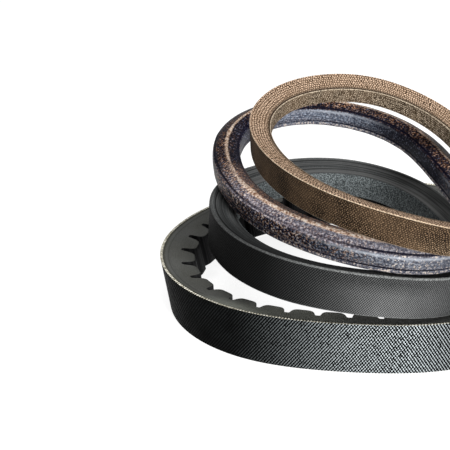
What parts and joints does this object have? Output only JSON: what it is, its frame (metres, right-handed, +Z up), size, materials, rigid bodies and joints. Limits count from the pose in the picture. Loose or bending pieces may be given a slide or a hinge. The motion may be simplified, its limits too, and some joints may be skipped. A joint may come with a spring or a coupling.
{
  "type": "v belt set",
  "caption": "Leaning stack of endless drive belts: a raw-edge cogged V-belt, a wrapped V-belt, a hexagonal double-V belt and a woven-cover V-belt on top.",
  "frame": {"origin": "middle of the stack's bounding box, on the surface that it stands on", "axes": "+X along the lowest belt's long direction, +Y across it towards the back, +Z up, square to the lowest belt's flat side"},
  "size_m": [0.1698, 0.1355, 0.0814],
  "materials": {
    "backing_cloth": "rubbered bias weave, matte, with a pale raw edge",
    "cog_rubber": "moulded black rubber, satin",
    "black_rubber": "ground black rubber, matte",
    "charcoal_cloth": "charcoal rubbered cover, fine weave, matte",
    "violet_cloth": "blue-grey rubbered cover with brown fibres, soft sheen",
    "tan_cloth": "dry tan woven cover, matte",
    "polyester_cord": "twisted cream cord",
    "aramid_cord": "twisted yellow cord"
  },
  "bodies": {
    "cogged_belt": {"cogged_belt_backing_fabric": "backing_cloth", "cogged_belt_outer_cushion_rubber": "black_rubber", "cogged_belt_tension_cord": "polyester_cord", "cogged_belt_inner_cushion_rubber": "black_rubber", "cogged_belt_cog_body": "cog_rubber"},
    "wrapped_belt": {"wrapped_belt_cover": "charcoal_cloth", "wrapped_belt_top_rubber": "black_rubber", "wrapped_belt_tension_cord": "polyester_cord", "wrapped_belt_cushion_rubber": "black_rubber", "wrapped_belt_base_rubber": "black_rubber"},
    "hex_belt": {"hex_belt_cover": "violet_cloth", "hex_belt_outer_core_rubber": "black_rubber", "hex_belt_outer_cushion_rubber": "black_rubber", "hex_belt_tension_cord": "polyester_cord", "hex_belt_inner_cushion_rubber": "black_rubber", "hex_belt_inner_core_rubber": "black_rubber"},
    "brown_belt": {"brown_belt_cover": "tan_cloth", "brown_belt_top_rubber": "black_rubber", "brown_belt_tension_cord": "aramid_cord", "brown_belt_cushion_rubber": "black_rubber", "brown_belt_base_rubber": "black_rubber"}
  },
  "joints": [
    {"name": "wrapped_lift", "type": "slide", "parent": "cogged_belt", "child": "wrapped_belt", "axis": [0, 0, 1], "range_m": [0, 0.08]},
    {"name": "hex_lift", "type": "slide", "parent": "wrapped_belt", "child": "hex_belt", "axis": [0, 0, 1], "range_m": [0, 0.08]},
    {"name": "brown_lift", "type": "slide", "parent": "hex_belt", "child": "brown_belt", "axis": [0, 0, 1], "range_m": [0, 0.08]}
  ]
}
